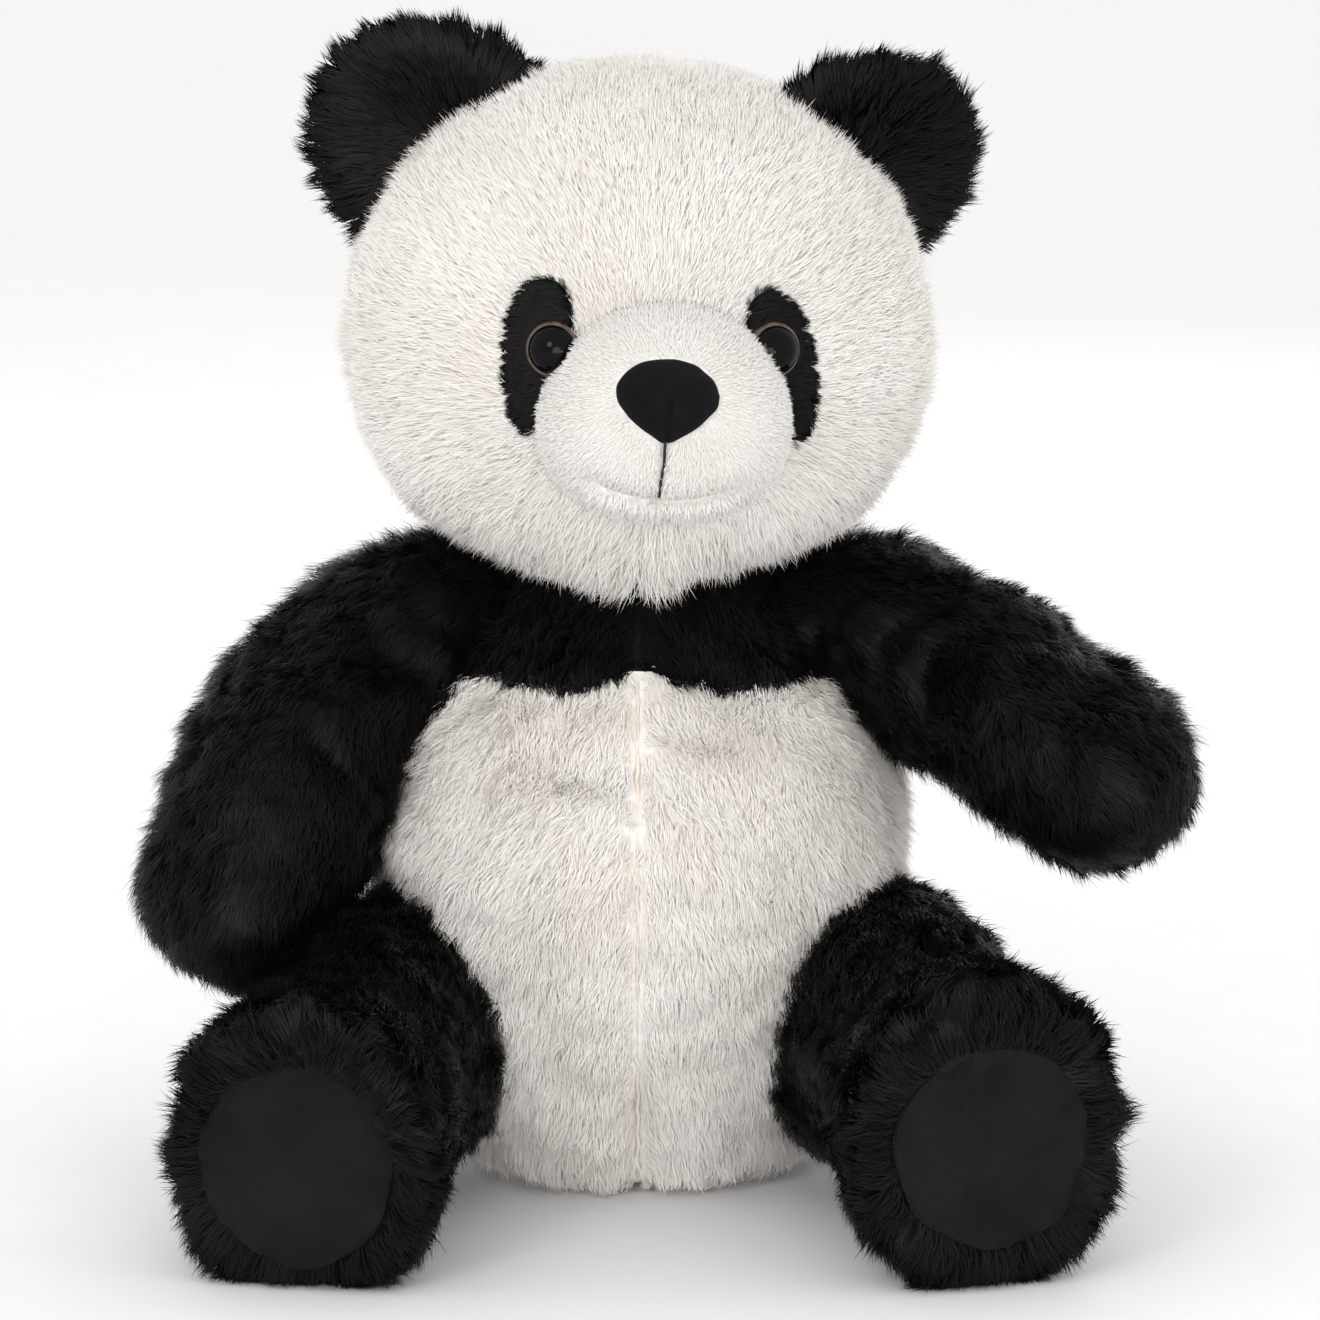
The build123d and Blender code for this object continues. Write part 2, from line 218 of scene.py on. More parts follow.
def limb_rings(line, radius, columns, tall=1.0, round_end=0):
    """Rings round a curved line, each as large and as tall as given, with an optional rounded end."""
    ahead = unit(np.gradient(line, axis=0))
    if round_end:
        turn = np.linspace(0, pi / 2 * 0.97, round_end + 1)[1:]
        line = np.vstack([line, line[-1] + ahead[-1] * (radius[-1] * np.sin(turn))[:, None]])
        radius = np.concatenate([radius, radius[-1] * np.cos(turn)])
        ahead = np.vstack([ahead, np.repeat(ahead[-1:], round_end, axis=0)])
    aside = unit(np.cross(ahead, UP))
    above = np.cross(aside, ahead)
    angle = np.linspace(0, 2 * pi, columns, endpoint=False)[None, :, None]
    circle = np.cos(angle) * aside[:, None] + np.sin(angle) * above[:, None] * np.reshape(tall, (-1, 1, 1))
    return line[:, None] + circle * radius[:, None, None], line, ahead


# -------- stuffing pressed into the cloth
CLOTH_PRESSURE = 4.0
CLOTH_FRAMES = 20
CLOTH_STEPS = 3          # solver steps in a frame
CLOTH_SPARE = -0.03      # the cloth is cut this share larger than its form, so it wrinkles a little
PLUSH_SWELL = 1.6
SOLE_SWELL = 2.2


def stuff(skin, pinned, limit):
    """Blow a skin up between its pinned seams with Blender's Cloth, moving no point past the limit."""
    scene = bpy.context.scene
    mesh = bpy.data.meshes.new("cloth")
    mesh.from_pydata((skin.points * MM).tolist(), [], skin.quads.tolist() + skin.caps.tolist())
    sheet = bpy.data.objects.new("cloth", mesh)
    scene.collection.objects.link(sheet)
    sheet.vertex_groups.new(name="seams").add(np.flatnonzero(pinned).tolist(), 1.0, "REPLACE")
    cloth = sheet.modifiers.new("Cloth", "CLOTH").settings
    cloth.vertex_group_mass = "seams"
    cloth.use_pressure = True
    cloth.uniform_pressure_force = CLOTH_PRESSURE
    cloth.effector_weights.gravity = 0
    cloth.shrink_min = CLOTH_SPARE
    cloth.quality = CLOTH_STEPS
    for number in range(1, CLOTH_FRAMES + 1):
        scene.frame_set(number)
    settled = sheet.evaluated_get(bpy.context.evaluated_depsgraph_get()).to_mesh()
    flat = np.empty(len(skin.points) * 3)
    settled.vertices.foreach_get("co", flat)
    move = flat.reshape(-1, 3) / MM - skin.points
    far = np.linalg.norm(move, axis=1, keepdims=True)
    skin.points = skin.points + move * np.minimum(1, limit / np.maximum(far, limit))
    skin.face_up()
    bpy.data.objects.remove(sheet)
    bpy.data.meshes.remove(mesh)
    scene.frame_set(1)


# -------- strands of pile
STRAND_FACES = np.array([[0, 1, 3], [0, 3, 2], [2, 3, 4]])
ROOT_DEPTH = 0.5
LIFT_RANGE = (0.08, 1.5)
LENGTH_RANGE = (0.72, 1.15)
WIDTH_RANGE = (0.7, 1.2)
BEND_WIDTH = 0.85        # a strand's width where it bends, as a share of its width at the root


class Pile:
    """Flat tapered strands that grow from a skin, bent once on the way.

    style gives each strand its comb direction, length and lift from the skin, and whether it is
    kept. tufts is the share of strands that draw their neighbours in, and how strongly."""

    def __init__(self, skin, per_square_cm, seed, style, width=0.42, droop=0.55, tufts=(0.03, 0.5),
                 spread=0.18):
        rng = np.random.default_rng(seed)
        places, normals, along = skin.scatter(per_square_cm, seed + 1)
        comb, length, lift, keep = style(places, normals, along)
        places, normals, comb = places[keep], normals[keep], comb[keep]
        count = len(places)
        length, lift = (np.broadcast_to(value, keep.shape)[keep] for value in (length, lift))
        comb = unit(comb - normals * (comb * normals).sum(axis=1, keepdims=True))
        comb = unit(comb + rng.normal(scale=spread, size=(count, 3)))
        lift = np.clip(lift + rng.normal(scale=0.12, size=count), *LIFT_RANGE)[:, None]
        length = (length * rng.uniform(*LENGTH_RANGE, count))[:, None]
        bend = places + (normals * np.sin(lift) + comb * np.cos(lift)) * length * 0.5
        tip = bend + (normals * np.sin(lift - droop) + comb * np.cos(lift - droop)) * length * 0.5
        bend, tip = self.gather(rng, places, bend, tip, *tufts)
        across = unit(np.cross(tip - places, normals) + rng.normal(scale=0.25, size=(count, 3)))
        half = (width * rng.uniform(*WIDTH_RANGE, count))[:, None] / 2
        root = places - normals * ROOT_DEPTH
        side, bend_side = across * half, across * half * BEND_WIDTH
        self.roots = places
        self.corners = np.stack([root - side, root + side, bend - bend_side, bend + bend_side, tip], axis=1)
        face = np.cross(across, tip - root)
        face *= np.sign((face * normals).sum(axis=1, keepdims=True) + 1e-9)
        self.shade = unit(normals * 0.85 + unit(face) * 0.3)
        self.flipped = (np.cross(across, tip - root) * normals).sum(axis=1) < 0

    @staticmethod
    def gather(rng, places, bend, tip, share, strength):
        """Draw the tips of neighbouring strands together into tufts."""
        count = len(places)
        chosen = rng.choice(count, max(2, int(count * share)), replace=False)
        tree = KDTree(len(chosen))
        for number, index in enumerate(chosen):
            tree.insert(places[index], number)
        tree.balance()
        nearest = chosen[np.array([tree.find(place)[1] for place in places])]
        pull = (strength * rng.uniform(0.4, 1.4, count))[:, None]
        return bend + (bend[nearest] - bend) * pull * 0.4, tip + (tip[nearest] - tip) * pull


def mesh_object(name, points, quads, triangles, material, anchors=None, shade=None):
    """One mesh object, in metres, with smooth shading and a cylindrical UV layer."""
    mesh = bpy.data.meshes.new(name)
    points = np.asarray(points, float).copy()
    points[:, 2] = np.maximum(points[:, 2], FLOOR_GAP)
    loops = np.concatenate([np.reshape(quads, -1), np.reshape(triangles, -1)]).astype(np.int32)
    sizes = np.concatenate([np.full(len(quads), 4), np.full(len(triangles), 3)])
    mesh.vertices.add(len(points))
    mesh.vertices.foreach_set("co", (points * MM).astype(np.float32).reshape(-1))
    mesh.loops.add(len(loops))
    mesh.loops.foreach_set("vertex_index", loops)
    mesh.polygons.add(len(sizes))
    mesh.polygons.foreach_set("loop_start", np.concatenate([[0], np.cumsum(sizes)[:-1]]).astype(np.int32))
    mesh.polygons.foreach_set("use_smooth", np.ones(len(sizes), bool))
    mesh.update(calc_edges=True)
    anchors = points if anchors is None else anchors
    low, high = anchors.min(axis=0), anchors.max(axis=0)
    centre, size = (low + high) / 2, np.maximum(high - low, 1e-6)
    turn = np.arctan2(anchors[:, 0] - centre[0], -(anchors[:, 1] - centre[1])) / (2 * pi) + 0.5
    uv = np.stack([turn, (anchors[:, 2] - low[2]) / size[2]], axis=1) * 0.98 + 0.01
    spread = np.random.default_rng(7).uniform(-0.004, 0.004, uv.shape)
    layer = mesh.uv_layers.new(name="OFBake")
    layer.data.foreach_set("uv", (uv + spread)[loops].astype(np.float32).reshape(-1))
    if shade is not None:
        mesh.normals_split_custom_set_from_vertices(shade)
    for one in material if isinstance(material, (list, tuple)) else [material]:
        mesh.materials.append(one)
    piece = bpy.data.objects.new(name, mesh)
    bpy.context.collection.objects.link(piece)
    return piece


def everywhere(points):
    return np.ones(len(points), bool)


def panel(name, skin, pile, inside, material):
    """One cut panel: the skin's faces inside it and the pile whose roots are inside it."""
    quads = skin.quads[inside(skin.points[skin.quads].mean(axis=1))]
    caps = skin.caps[inside(skin.points[skin.caps].mean(axis=1))]
    used = np.unique(np.concatenate([quads.reshape(-1), caps.reshape(-1)]))
    renumber = np.zeros(len(skin.points), int)
    renumber[used] = np.arange(len(used))
    mine = inside(pile.roots)
    corners, shade, flipped = pile.corners[mine], pile.shade[mine], pile.flipped[mine]
    strands = np.where(flipped[:, None, None], STRAND_FACES[:, ::-1], STRAND_FACES)
    strands = (strands + 5 * np.arange(len(corners))[:, None, None] + len(used)).reshape(-1, 3)
    points = np.vstack([skin.points[used], corners.reshape(-1, 3)])
    anchors = np.vstack([skin.points[used], np.repeat(pile.roots[mine], 5, axis=0)])
    shades = np.vstack([skin.normals[used], np.repeat(shade, 5, axis=0)])
    triangles = np.vstack([renumber[caps], strands])
    return mesh_object(name, points, renumber[quads], triangles, material, anchors, shades)


def fit(piece, body, nodes):
    """Ride on a body, or have its place baked in when given a joint between two, and hide the CAD nodes it
    stands for.
    """
    if isinstance(body, str):
        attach(piece, body)
    else:
        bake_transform(piece)
    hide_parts(*nodes)


# -------- materials
SPOTS_SHARE = 0.6        # how much of the colour's change comes from the broad spots
BUMP_STRENGTH = 0.6


def material(name, light, dark, spots, grain, roughness, bump_height=0.0, **constants):
    """A procedural finish: broad spots and a fine grain between two colours, with a grain bump."""
    made = bpy.data.materials.new(name)
    made.use_nodes = True
    nodes, links = made.node_tree.nodes, made.node_tree.links
    shader = nodes["Principled BSDF"]
    shader.inputs["Roughness"].default_value = roughness
    for socket, value in constants.items():
        shader.inputs[socket.replace("_", " ")].default_value = value
    place = nodes.new("ShaderNodeTexCoord").outputs["Object"]
    noises = []
    for scale, detail in ((spots, 3.0), (grain, 2.0)):
        noise = nodes.new("ShaderNodeTexNoise")
        noise.inputs["Scale"].default_value = scale
        noise.inputs["Detail"].default_value = detail
        links.new(place, noise.inputs["Vector"])
        noises.append(noise.outputs["Fac"])
    both = nodes.new("ShaderNodeMath")
    both.operation = "MULTIPLY_ADD"
    links.new(noises[0], both.inputs[0])
    both.inputs[1].default_value = SPOTS_SHARE
    fine = nodes.new("ShaderNodeMath")
    fine.operation = "MULTIPLY"
    links.new(noises[1], fine.inputs[0])
    fine.inputs[1].default_value = 1 - SPOTS_SHARE
    links.new(fine.outputs[0], both.inputs[2])
    ramp = nodes.new("ShaderNodeValToRGB")
    ramp.color_ramp.elements[0].position = 0.35
    ramp.color_ramp.elements[0].color = (*dark, 1)
    ramp.color_ramp.elements[1].position = 0.62
    ramp.color_ramp.elements[1].color = (*light, 1)
    links.new(both.outputs[0], ramp.inputs["Fac"])
    links.new(ramp.outputs["Color"], shader.inputs["Base Color"])
    if bump_height:
        relief = nodes.new("ShaderNodeBump")
        relief.inputs["Strength"].default_value = BUMP_STRENGTH
        relief.inputs["Distance"].default_value = bump_height * MM
        links.new(noises[1], relief.inputs["Height"])
        links.new(relief.outputs["Normal"], shader.inputs["Normal"])
    return made


SOFT_WHITE = {"Sheen_Weight": 0.25, "Sheen_Roughness": 0.5, "Specular_IOR_Level": 0.25}
SOFT_BLACK = {
    "Sheen_Weight": 0.014,
    "Sheen_Roughness": 0.4,
    "Sheen_Tint": (0.85, 0.88, 1.0, 1.0),
    "Specular_IOR_Level": 0.13,
}
SUEDE_GLOSS = {"Sheen_Weight": 0.03, "Sheen_Roughness": 0.45, "Specular_IOR_Level": 0.1}
VELOUR_GLOSS = {"Sheen_Weight": 0.04, "Sheen_Roughness": 0.4, "Specular_IOR_Level": 0.1}
FAINT_GLOSS = {"Specular_IOR_Level": 0.1}
THREAD_GLOSS = {"Specular_IOR_Level": 0.3}
IRIS_GLOSS = {"Specular_IOR_Level": 0.4}
SEAM_GLOSS = {"Specular_IOR_Level": 0.2}

# Each finish: light and dark colour, size of spots and grain, roughness, then the grain's height.
WHITE = material(
    "white_plush", (0.885, 0.857, 0.822), (0.815, 0.772, 0.722), 30, 450, 0.75, **SOFT_WHITE)
SHORT_WHITE = material(
    "white_short_plush", (0.815, 0.795, 0.765), (0.765, 0.738, 0.70), 45, 700, 0.8, **SOFT_WHITE)
BLACK = material(
    "black_plush", (0.0040, 0.0039, 0.0044), (0.0012, 0.0012, 0.0014), 35, 500, 0.42, **SOFT_BLACK)
SHORT_BLACK = material(
    "black_short_plush", (0.0055, 0.005, 0.005), (0.002, 0.0018, 0.0018), 60, 800, 0.55, **SOFT_BLACK)
SUEDE = material(
    "foot_suede", (0.0105, 0.0102, 0.0112), (0.0055, 0.0053, 0.006), 60, 2600, 0.9, 0.25, **SUEDE_GLOSS)
VELOUR = material(
    "nose_velour", (0.006, 0.0055, 0.0056), (0.0028, 0.0026, 0.0026), 90, 3000, 0.85, 0.15, **VELOUR_GLOSS)
PUPIL = material(
    "eye_black", (0.003, 0.003, 0.0032), (0.002, 0.002, 0.002), 200, 900, 0.05, **FAINT_GLOSS)
IRIS = material(
    "eye_brown", (0.13, 0.085, 0.062), (0.055, 0.033, 0.024), 600, 2500, 0.3, **IRIS_GLOSS)
THREAD = material(
    "dark_thread", (0.018, 0.015, 0.014), (0.008, 0.007, 0.0065), 300, 2500, 0.7, 0.1, **THREAD_GLOSS)
# Painted shade: the tan colour of the strip laid in the smile's crease, standing in for the crease's shadow.
PAINTED_CREASE_SHADE = material(
    "lip_crease_painted_shade", (0.56, 0.49, 0.42), (0.45, 0.38, 0.32), 200, 2200, 0.9, **FAINT_GLOSS)
SEAM = material(
    "seam_thread", (0.80, 0.74, 0.66), (0.66, 0.59, 0.51), 200, 2200, 0.8, 0.1, **SEAM_GLOSS)


# -------- where the body parts are
TORSO_HEIGHTS = (0.6, 5, 16, 34, 60, 86, 108, 128, 144, 158)
TORSO_RADII = (32, 42, 49, 56, 62.5, 65, 60, 50, 41, 31)
BELLY_FORWARD = (0, -1, -2, -3, -4, -4, -3, -1, 0.5, 1.5)
TORSO_DEPTH = 0.98       # depth of the torso as a share of its width
TORSO_ROWS, TORSO_SIDES = 84, 168
SEAT_TOP = 1.5           # height at which the seat panel meets the belly and back


def torso_at(height):
    """Radius of the torso skin and how far its middle is moved forwards, at a height."""
    return np.interp(height, TORSO_HEIGHTS, TORSO_RADII), np.interp(height, TORSO_HEIGHTS, BELLY_FORWARD)


def inside_torso(points, margin):
    radius, forward = torso_at(points[:, 2])
    out = np.hypot(points[:, 0], points[:, 1] - forward)
    return (out < radius - margin) & (points[:, 2] < TORSO_HEIGHTS[-1])


HEAD_RADII = np.array([71.5, 65.0, 66.5])


def inside_head(points, margin):
    return np.linalg.norm(to_face(points) / (HEAD_RADII - margin), axis=1) < 1


def direction(azimuth, latitude):
    """A head direction: azimuth towards the toy's left from the nose, latitude upwards."""
    azimuth, latitude = np.broadcast_arrays(azimuth, latitude)
    parts = [np.sin(azimuth) * np.cos(latitude), -np.cos(azimuth) * np.cos(latitude), np.sin(latitude)]
    return np.stack(parts, axis=-1)


def head_surface(ways, proud=0.0):
    """Local points on the head skin in the given directions, moved out by proud, and normals."""
    points = ways / np.linalg.norm(ways / HEAD_RADII, axis=-1, keepdims=True)
    normals = unit(points / HEAD_RADII**2)
    return points + normals * proud, normals


class Limb:
    """The line and radii of an arm or leg, from inside the torso to its far end."""

    def __init__(self, points, radii, rows, tall=1.0, round_end=0, columns=56):
        line = smooth_line(points, rows)
        radius = smooth_line(radii, rows)[:, 0]
        rings, self.line, self.ahead = limb_rings(line, radius, columns, tall, round_end)
        self.radius = np.append(radius, radius[-1] * np.ones(len(self.line) - len(radius)))
        self.skin = Skin(rings)

    def ahead_at(self, along):
        place = np.clip(along, 0, 1) * (len(self.line) - 1)
        index = np.clip(place.astype(int), 0, len(self.line) - 2)
        return self.ahead[index], self.line[index]

    def holds(self, points, margin):
        """Which points lie inside the limb, deeper than a margin."""
        found = np.zeros(len(points), bool)
        for centre, radius in zip(self.line[::3], self.radius[::3]):
            found |= np.linalg.norm(points - centre, axis=1) < radius - margin
        return found


ARM_BOW = {"left": (0.0, 0.0, 5.0), "right": (-2.5, 0.0, 4.0)}
ARM_END = {"left": (2.0, 0.0, 4.0), "right": (-2.0, 0.0, -5.0)}
ARM_RADII = {"left": (20, 23.5, 23, 23.5, 22.5), "right": (20, 24.5, 26, 27, 24.2)}
PAW_RADIUS = 27


def make_arm(side):
    sign = SIDES[side]
    shoulder = joint_place(f"arm_raise_{side}")
    way, length = reach([f"arm_front_{side}", f"arm_back_{side}"], shoulder)
    bow = np.array(ARM_BOW[side])
    points = [
        shoulder + (-24 * sign, 1, 0),
        shoulder + (-6 * sign, 0, 1) + way * 4,
        shoulder + way * (length * 0.33) + bow,
        shoulder + way * (length * 0.56) + bow * 0.9,
        shoulder + way * (length - PAW_RADIUS) + np.array(ARM_END[side]),
    ]
    return Limb(points, ARM_RADII[side], rows=46, round_end=12)


LEG_STEPS = (-0.2, -0.05, 0.12, 0.34, 0.58, 0.74, 0.88, 0.98, 1.01)
LEG_INWARD = (30, 12, 3, 0, 0, 0, 0, 0, 0)
LEG_RISE = (9, 10, 10, 8, 5.5, 3.5, 1.5, 0.3, 0)
LEG_RADII = (20, 27, 29.5, 28.5, 26.5, 30, 32, 29.5, 25)
FOOT_TALL = {"left": 1.16, "right": 1.1}
FOOT_RISE = {"left": 2.0, "right": -2.5}


def make_leg(side):
    hip = joint_place(f"leg_spread_{side}")
    pad = middle(f"foot_pad_{side}")
    across = (pad - hip) * (1, 1, 0)
    points = [
        hip + across * step + UP * (rise + FOOT_RISE[side] * step) - (SIDES[side] * inward, 0, 0)
        for step, rise, inward in zip(LEG_STEPS, LEG_RISE, LEG_INWARD)
    ]
    tall = 1 + (FOOT_TALL[side] - 1) * smoothstep(1.0, 0.85, np.linspace(0, 1, 60))
    return Limb(points, LEG_RADII, rows=60, tall=tall, columns=64)


ARMS = {side: make_arm(side) for side in SIDES}
LEGS = {side: make_leg(side) for side in SIDES}


# -------- torso, yoke and tail
# The lip's radius is for a strip of painted shade in the smile's crease, not a thread.
BELLY_THREAD, MOUTH_THREAD, LIP_SHADE_STRIP = 0.55, 0.34, 0.55     # radii


def yoke_edge(points):
    """Height of the ragged seam between the black yoke and the white belly or back."""
    peak = 5 * bump(points[:, 0], 9) * (points[:, 1] < 0)
    return YOKE_BOTTOM + 0.5 + peak + 1.2 * waves(points * (1, 1, 0.2), 14, 21)


def torso_skin():
    heights, radii, forward = (
        smooth_line(values, TORSO_ROWS)[:, 0] for values in (TORSO_HEIGHTS, TORSO_RADII, BELLY_FORWARD)
    )
    angle = np.linspace(0, 2 * pi, TORSO_SIDES, endpoint=False)
    rings = np.stack(
        [
            radii[:, None] * np.sin(angle),
            -radii[:, None] * np.cos(angle) * TORSO_DEPTH + forward[:, None],
            heights[:, None] + 0 * angle,
        ],
        axis=-1,
    )
    skin = Skin(rings)
    seam = bump(skin.points[:, 0], 2.2) * (skin.points[:, 2] < YOKE_BOTTOM + 4)
    dents = 1.1 * waves(skin.points, 46, 3) + 0.5 * waves(skin.points, 20, 4)
    high = skin.points[:, 2]
    skin.press(1.5 * seam * smoothstep(2, 14, high) + dents * smoothstep(2, 20, high))
    sewn = (np.abs(skin.points[:, 0]) < 2) | (np.abs(skin.points[:, 2] - YOKE_BOTTOM) < 1.5)
    stuff(skin, sewn | (skin.points[:, 2] < 6) | (skin.points[:, 2] > 140), PLUSH_SWELL)
    return skin


def torso_style(black):
    def style(places, normals, along):
        comb = np.repeat(DOWN[None], len(places), axis=0) + 0.22 * np.stack(
            [waves(places, 34, 5), waves(places, 34, 6), 0 * along], axis=1
        )
        near_seam = bump(places[:, 0], 4.0)
        comb[:, 0] += 0.9 * np.sign(places[:, 0]) * near_seam
        length = 6.4 + 1.1 * waves(places, 11, 8)
        length = length * (1 - 0.35 * near_seam)
        if black:
            length = length + 1.2
        lift = 0.72 + 0.2 * waves(places, 16, 9) - 0.15 * near_seam
        above = places[:, 2] > yoke_edge(places)
        keep = above if black else ~above
        keep &= places[:, 2] > SEAT_TOP
        keep &= ~inside_head(places, 4)
        for limb in (*ARMS.values(), *LEGS.values()):
            keep &= ~limb.holds(places, 6.5)
        keep &= ~((np.abs(places[:, 0]) < 0.55) & (places[:, 2] < YOKE_BOTTOM))
        return comb, length, lift, keep

    return style


def tube(name, line, radius, finish, sides=10):
    """A round tube along a smooth line: a thread, or the lip's strip of painted shade."""
    rings, _, _ = limb_rings(np.asarray(line), np.full(len(line), radius), sides)
    skin = Skin(rings)
    return mesh_object(name, skin.points, skin.quads, skin.caps, finish, shade=skin.normals)


def build_torso():
    skin = torso_skin()
    white = Pile(skin, 450, 100, torso_style(False), width=0.27, tufts=(0.016, 0.42), spread=0.3)
    black = Pile(skin, 360, 110, torso_style(True), width=0.33, tufts=(0.022, 0.45), spread=0.28)
    top = NECK * (0, 0, 1)
    for name, front in (("belly", True), ("back", False)):
        for side, sign in SIDES.items():
            def inside(points):
                white_part = (points[:, 2] > SEAT_TOP) & (points[:, 2] <= yoke_edge(points))
                return white_part & ((points[:, 1] < 0) == front) & (points[:, 0] * sign >= 0)

            piece = panel(f"{name}_{side}", skin, white, inside, WHITE)
            fit(piece, "torso", [f"{name}_panel_{side}"])
    piece = panel("seat", skin, white, lambda points: points[:, 2] <= SEAT_TOP, WHITE)
    fit(piece, "torso", ["seat_panel", "torso_stuffing", "seat_bean_bag"])
    for name, node, sign in (("yoke_front", "chest_yoke", -1), ("yoke_back", "back_yoke", 1)):
        def inside(points):
            return (points[:, 2] > yoke_edge(points)) & (points[:, 1] * sign >= 0)

        piece = panel(name, skin, black, inside, BLACK)
        nodes = [node, "neck_stuffing"] if name == "yoke_front" else [node]
        fit(piece, ("torso", "neck", top - UP * 8, top + UP * 10), nodes)
    heights = np.linspace(4, YOKE_BOTTOM + 2, 60)
    radii, forward = torso_at(heights)
    line = np.stack([0.25 * np.sin(heights * 0.9), forward - radii * TORSO_DEPTH + 0.2, heights], axis=1)
    piece = tube("belly_seam", line, BELLY_THREAD, SEAM)
    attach(piece, "torso")


def ball_skin(centre, radii, rows=30, columns=44):
    latitude = np.linspace(-pi / 2 * 0.98, pi / 2 * 0.98, rows)
    angle = np.linspace(0, 2 * pi, columns, endpoint=False)
    rings = np.stack(
        [
            np.cos(latitude)[:, None] * np.cos(angle) * radii[0],
            np.cos(latitude)[:, None] * np.sin(angle) * radii[1],
            np.sin(latitude)[:, None] * radii[2] + 0 * angle,
        ],
        axis=-1,
    )
    return Skin(rings + centre)


TAIL_RADII = (11, 9, 10)


def build_tail():
    centre = middle("tail")
    skin = ball_skin(centre - (0, 1, 0), TAIL_RADII)

    def style(places, normals, along):
        comb = places - (centre - (0, 12, -6))
        return comb, 8.0, 0.75, ~inside_torso(places, 3)

    piece = panel("tail_tuft", skin, Pile(skin, 320, 130, style), everywhere, WHITE)
    fit(piece, "torso", ["tail"])


# -------- head
MUZZLE = np.array([1.2, -57.0, -11.6])
MUZZLE_WIDE, MUZZLE_TALL, MUZZLE_LONG = 30.0, 26.0, 31.5
MUZZLE_BACK = -36.0      # where the muzzle's wall ends, inside the head
MUZZLE_SIDES = 96
PUFF = 2.25              # 2 would make the muzzle round, and more makes it squarer
SMILE_AT = -31.0         # height of the smile's lowest point
SMILE_BEND = 0.012
NOSE_AT = (-1.2, -4.8)   # the nose's middle, across the face and up


def muzzle_share(x, rise):
    """0 on the muzzle's axis and 1 on its outline, which is wider below than above."""
    low = np.clip(-rise / MUZZLE_TALL, -1, 1)
    wide = MUZZLE_WIDE * (1 + np.where(low > 0, 0.10, 0.16) * low)
    return (np.abs((x - MUZZLE[0]) / wide) ** PUFF + np.abs(rise / MUZZLE_TALL) ** PUFF) ** (1 / PUFF)


def muzzle_front(x, z):
    """Local y of the muzzle's surface in front of a place on the face."""
    share = np.clip(muzzle_share(x, z - MUZZLE[2]), 0, 1)
    return MUZZLE[1] - MUZZLE_LONG * (1 - share**PUFF) ** (1 / PUFF)


def mouth_height(x):
    return SMILE_AT + SMILE_BEND * x**2


def muzzle_skin():
    angle = np.linspace(0, 2 * pi, MUZZLE_SIDES, endpoint=False)
    size = np.full(MUZZLE_SIDES, MUZZLE_TALL)
    for _ in range(12):
        size = size / muzzle_share(np.cos(angle) * size + MUZZLE[0], np.sin(angle) * size)
    share = np.sin(np.linspace(pi / 2 * 0.02, pi / 2, 42))[:, None]
    x = share * size * np.cos(angle) + MUZZLE[0]
    rise = share * size * np.sin(angle)
    y = muzzle_front(x, rise + MUZZLE[2])
    smile = bump(rise + MUZZLE[2] - mouth_height(x), 2.0) * smoothstep(21, 15, np.abs(x)) * (y < -60)
    z = rise + MUZZLE[2]
    seam = bump(x - NOSE_AT[0], 1.3) * (z < -12) * (z > -32) * (y < -60)
    y = y + 3.4 * smile + 1.4 * seam
    front = np.stack([x, y, z], axis=-1)
    back = np.stack([x[-1:], np.full((1, MUZZLE_SIDES), MUZZLE_BACK), rise[-1:] + MUZZLE[2]], axis=-1)
    return Skin(from_face(np.concatenate([front, (front[-1:] + back) / 2, back])))


PATCH_TURN = {"left": 24.4, "right": 25.3}
PATCH_LEAN = {"left": 14, "right": 0}
PATCH_LIFT = -0.8
PATCH_SCALE = 68         # millimetres across the face for one radian about the head's centre
PATCH_OUTWARD = 1.2
PATCH_WIDE, PATCH_TALL = 7.7, 18.8
PATCH_PUFF = 2.4
PATCH_SIDES = 90


def patch_share(local, side):
    """0 at the middle of an eye patch and 1 on its bean-shaped outline."""
    way = unit(local)
    azimuth = np.arctan2(way[..., 0], -way[..., 1]) * SIDES[side]
    latitude = np.arcsin(np.clip(way[..., 2], -1, 1))
    aside = (azimuth - radians(PATCH_TURN[side])) * np.cos(latitude) * PATCH_SCALE
    above = (latitude - radians(PATCH_LIFT)) * PATCH_SCALE
    lean = radians(PATCH_LEAN[side])
    u = aside * cos(lean) + above * sin(lean)
    v = -aside * sin(lean) + above * cos(lean)
    wide, tall = np.abs((u - PATCH_OUTWARD) / PATCH_WIDE), np.abs(v / PATCH_TALL)
    return (wide**PATCH_PUFF + tall**PATCH_PUFF) ** (1 / PATCH_PUFF)


def head_skin():
    latitude = np.linspace(-pi / 2 * 0.985, pi / 2 * 0.985, 80)
    angle = np.linspace(0, 2 * pi, 150, endpoint=False)
    local, _ = head_surface(direction(angle[None, :], latitude[:, None]))
    skin = Skin(from_face(local))
    flat = to_face(skin.points)
    under = smoothstep(-40, -60, flat[:, 2]) * smoothstep(15, -15, flat[:, 1])
    part = bump(flat[:, 0], 4) * (flat[:, 1] < -20) * (flat[:, 2] < -34)
    skin.press(0.7 * waves(skin.points, 50, 31) + 1.2 * part + 4.5 * under * (1 - bump(flat[:, 0], 17)))
    return skin


